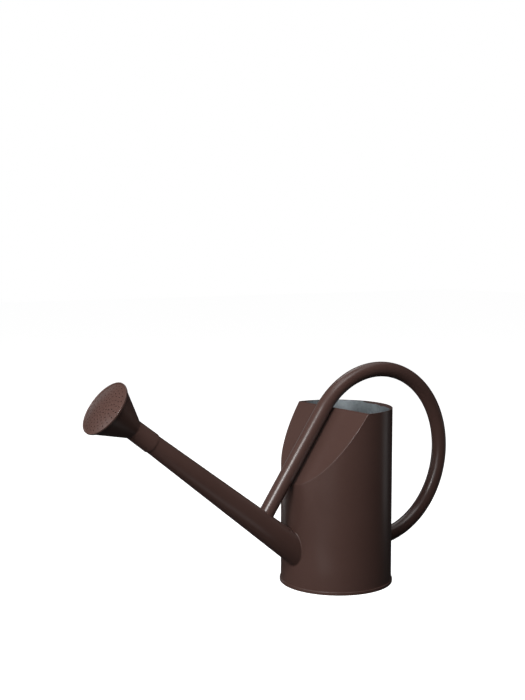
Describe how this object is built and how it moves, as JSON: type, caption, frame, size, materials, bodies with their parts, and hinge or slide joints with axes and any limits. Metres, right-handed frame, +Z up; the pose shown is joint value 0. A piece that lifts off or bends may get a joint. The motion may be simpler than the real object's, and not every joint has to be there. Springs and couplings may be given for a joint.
{
  "type": "watering can",
  "caption": "Upright round watering can with a slanted front panel, a long tapered spout, a domed pull-off rose and one looped tube handle.",
  "frame": {"origin": "centre of the foot, on the surface that the can stands on", "axes": "+Z up along the body's axis, -X towards the spout, y = 0 is the plane of symmetry"},
  "size_m": [0.6091, 0.1632, 0.3136],
  "materials": {
    "brown_coat": "satin",
    "zinc": "matte",
    "rubber": "matte"
  },
  "bodies": {
    "can": {"body_shell": "brown_coat", "front_panel": "brown_coat", "panel_weld": "zinc", "side_seam": "zinc", "bottom_plate": "brown_coat", "spout_tube": "brown_coat", "spout_weld": "brown_coat", "handle_tube": "brown_coat", "handle_front_weld": "brown_coat", "handle_rear_weld": "brown_coat"},
    "washer": {"rose_washer": "rubber"},
    "rose": {"rose_sleeve": "brown_coat", "rose_cone": "brown_coat", "rose_plate": "brown_coat"}
  },
  "joints": [
    {"name": "rose_pull", "type": "slide", "parent": "can", "child": "washer", "axis": [-0.7955, 0, 0.606], "range_m": [0, 0.045]},
    {"name": "rose_twist", "type": "hinge", "parent": "washer", "child": "rose", "pos_m": [-0.08, 0, 0.0592], "axis": [-0.7955, 0, 0.606], "continuous": true}
  ]
}
